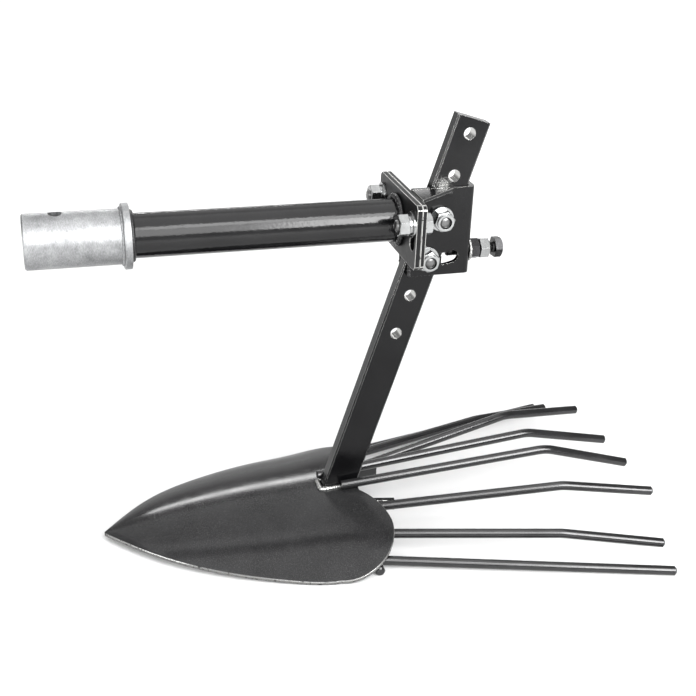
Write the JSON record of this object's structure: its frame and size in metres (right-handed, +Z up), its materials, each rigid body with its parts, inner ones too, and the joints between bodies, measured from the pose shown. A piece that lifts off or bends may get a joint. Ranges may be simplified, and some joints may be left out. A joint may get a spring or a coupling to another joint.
{
  "type": "potato plough",
  "caption": "Potato plough for a two-wheeled tractor: a heart-shaped domed share with fanned tines on a leaning shank, held by a bracket and flange on a round drawbar.",
  "frame": {"origin": "on the drawbar's axis at the front face of the coupling collar", "axes": "+X to the rear, level with the floor; +Y to the plough's right; +Z up"},
  "size_m": [0.646, 0.3696, 0.4463],
  "materials": {
    "zinc_steel": "matt zinc coating",
    "black_paint": "gloss black paint",
    "bright_zinc": "bright zinc plating",
    "black_hardware": "black oxide",
    "share_steel": "dark gloss with bright worn edges",
    "tine_steel": "dark gloss, lightly scuffed"
  },
  "bodies": {
    "drawbar": {"coupling_sleeve": "zinc_steel", "coupling_collar": "zinc_steel", "drawbar_tube": "black_paint", "front_flange_plate": "black_paint"},
    "bracket": {"rear_flange_plate": "black_paint", "shank_bracket": "black_paint", "bracket_gusset": "black_paint", "flange_bolt_left": "bright_zinc", "flange_washer_left": "bright_zinc", "flange_spring_washer_left": "bright_zinc", "flange_nut_left": "bright_zinc", "flange_bolt_right": "bright_zinc", "flange_washer_right": "bright_zinc", "flange_spring_washer_right": "bright_zinc", "flange_nut_right": "bright_zinc", "pivot_bolt": "bright_zinc", "pivot_nut": "bright_zinc", "pivot_washer_near": "bright_zinc", "pivot_washer_far": "bright_zinc", "stop_screw_boss": "black_hardware", "stop_screw_lock_nut": "bright_zinc"},
    "digger": {"shank": "black_paint", "share": "share_steel", "tie_bar": "tine_steel", "tine_left_outer": "tine_steel", "tine_left_second": "tine_steel", "tine_left_third": "tine_steel", "tine_left_inner": "tine_steel", "tine_right_inner": "tine_steel", "tine_right_third": "tine_steel", "tine_right_second": "tine_steel", "tine_right_outer": "tine_steel", "root_stay_left": "tine_steel", "root_stay_right": "tine_steel", "clamp_bolt": "bright_zinc", "clamp_nut": "bright_zinc", "clamp_washer_near": "bright_zinc", "clamp_washer_far": "bright_zinc"},
    "stop_screw": {"stop_screw": "black_hardware"}
  },
  "joints": [
    {"name": "flange_roll", "type": "hinge", "parent": "drawbar", "child": "bracket", "pos_m": [0.26797, 0, 0.00379], "axis": [0.9999, 0, 0.0141], "range_deg": [-8, 8]},
    {"name": "shank_tilt", "type": "hinge", "parent": "bracket", "child": "digger", "pos_m": [0.30933, 0, 0.00727], "axis": [0, -1, 0], "range_deg": [0, 25]},
    {"name": "stop_screw_travel", "type": "slide", "parent": "bracket", "child": "stop_screw", "axis": [0.9999, 0, 0.0141], "range_m": [0, 0.0175]}
  ],
  "couplings": [
    {"joint": "stop_screw_travel", "follows": "shank_tilt", "m_per_rad": 0.0385}
  ]
}
